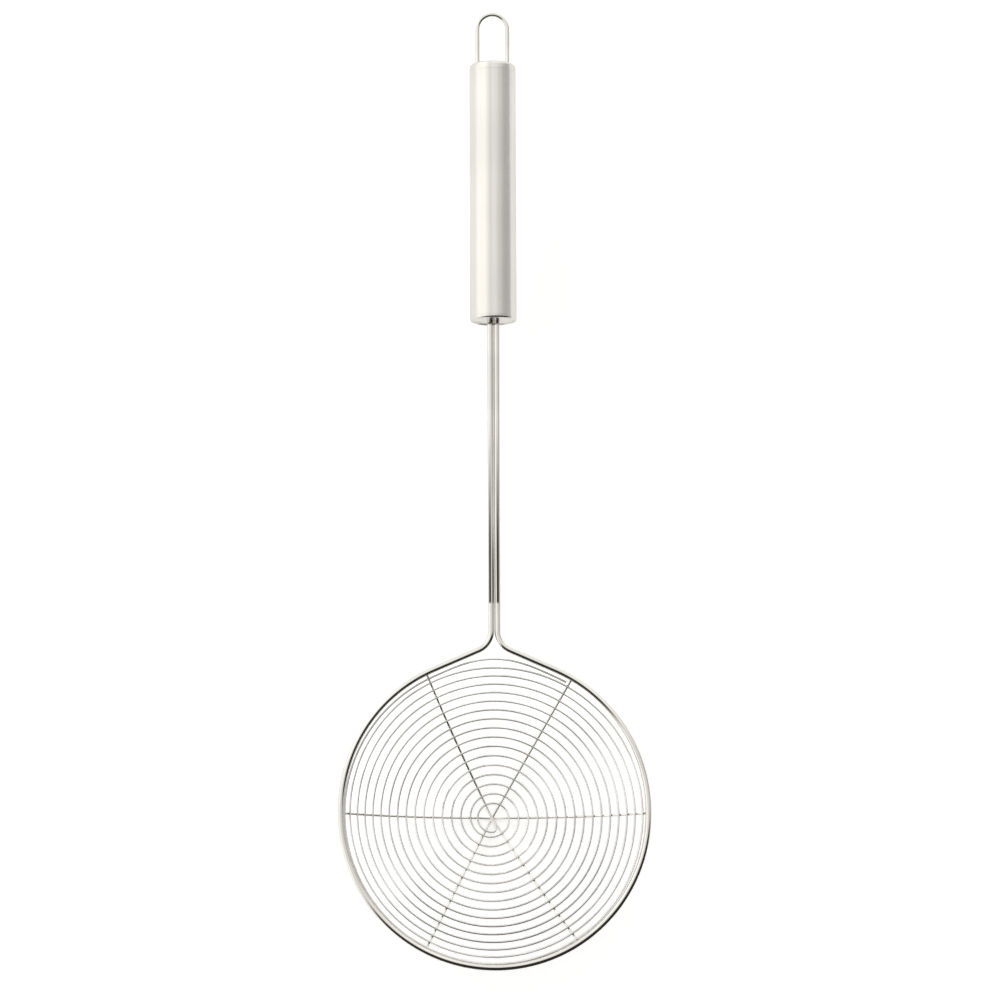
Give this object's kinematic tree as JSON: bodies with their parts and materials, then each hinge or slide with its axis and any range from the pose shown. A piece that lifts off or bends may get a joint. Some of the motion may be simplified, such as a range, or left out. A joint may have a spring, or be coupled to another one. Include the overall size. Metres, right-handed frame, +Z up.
{
  "type": "spider skimmer",
  "caption": "Long-handled spider skimmer: a shallow bowl of spiral wire on crossed spokes in a round wire rim, with a twin-wire shank, a brushed tube handle and a hanging loop.",
  "frame": {"origin": "under the middle of the object's length and width, on the surface that the bowl stands on", "axes": "+Z up, out of the bowl's mouth; +Y from the bowl towards the handle's hanging loop; +X to the right seen from above with the handle pointing away"},
  "size_m": [0.152, 0.4742, 0.0456],
  "materials": {
    "satin_steel": "satin brushed stainless steel with fine grain along the handle",
    "polished_wire": "bright polished round steel wire",
    "basket_wire": "bright drawn thin steel wire"
  },
  "bodies": {
    "root": {"rim_and_shank_wire": "polished_wire", "hanging_loop": "polished_wire", "spiral_wire": "basket_wire", "spoke_upper_left": "basket_wire", "spoke_upper_right": "basket_wire", "spoke_crosswise": "basket_wire", "handle_tube": "satin_steel", "lower_end_cap": "satin_steel", "upper_end_cap": "satin_steel"}
  },
  "joints": []
}
